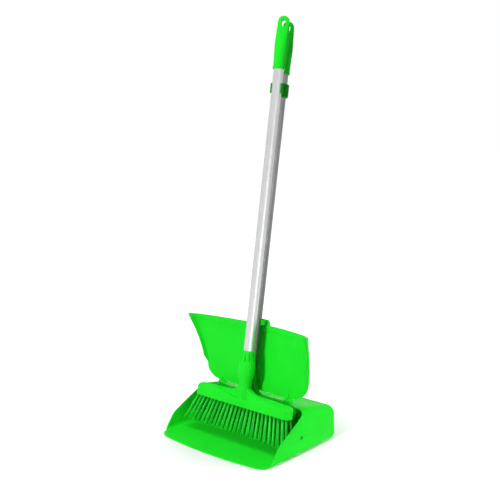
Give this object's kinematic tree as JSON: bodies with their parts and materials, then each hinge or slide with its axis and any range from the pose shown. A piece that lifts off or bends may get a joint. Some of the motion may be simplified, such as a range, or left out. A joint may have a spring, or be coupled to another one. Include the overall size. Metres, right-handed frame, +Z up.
{
  "type": "lobby dustpan with broom",
  "caption": "Upright lobby dustpan with hinged scoop lid, tipping handle and a broom parked in a clip on the handle's pole.",
  "frame": {"origin": "on the floor under the middle of the pan's depth and width", "axes": "+X to the pan's right seen from its mouth side, -Y out of the mouth, +Z up"},
  "size_m": [0.3388, 0.2793, 0.907],
  "materials": {
    "green_plastic": "bright green moulded plastic, satin gloss",
    "bristle": "green bristles",
    "aluminium": "satin drawn tube"
  },
  "bodies": {
    "pan": {"pan_body": "green_plastic", "lid_hinge_pins": "green_plastic"},
    "lid": {"lid": "green_plastic"},
    "handle": {"yoke": "green_plastic", "yoke_pivot_pins": "green_plastic", "pan_pole": "aluminium", "pole_rivet": "aluminium", "pan_grip": "green_plastic", "broom_clip": "green_plastic"},
    "broom": {"broom_block": "green_plastic", "collet_nut": "green_plastic", "broom_pole": "aluminium", "broom_grip": "green_plastic", "bristles_row_1": "bristle", "bristles_row_2": "bristle", "bristles_row_3": "bristle", "bristles_row_4": "bristle"}
  },
  "joints": [
    {"name": "handle_tip", "type": "hinge", "parent": "pan", "child": "handle", "pos_m": [0, -0.002, 0.036], "axis": [1, 0, 0], "range_deg": [0, 24]},
    {"name": "lid_swing", "type": "hinge", "parent": "pan", "child": "lid", "pos_m": [0, 0.02602, 0.09697], "axis": [-1, 0, 0], "range_deg": [0, 80]},
    {"name": "broom_lift", "type": "slide", "parent": "handle", "child": "broom", "axis": [0, 0.1616, 0.9869], "range_m": [0, 0.5]}
  ]
}
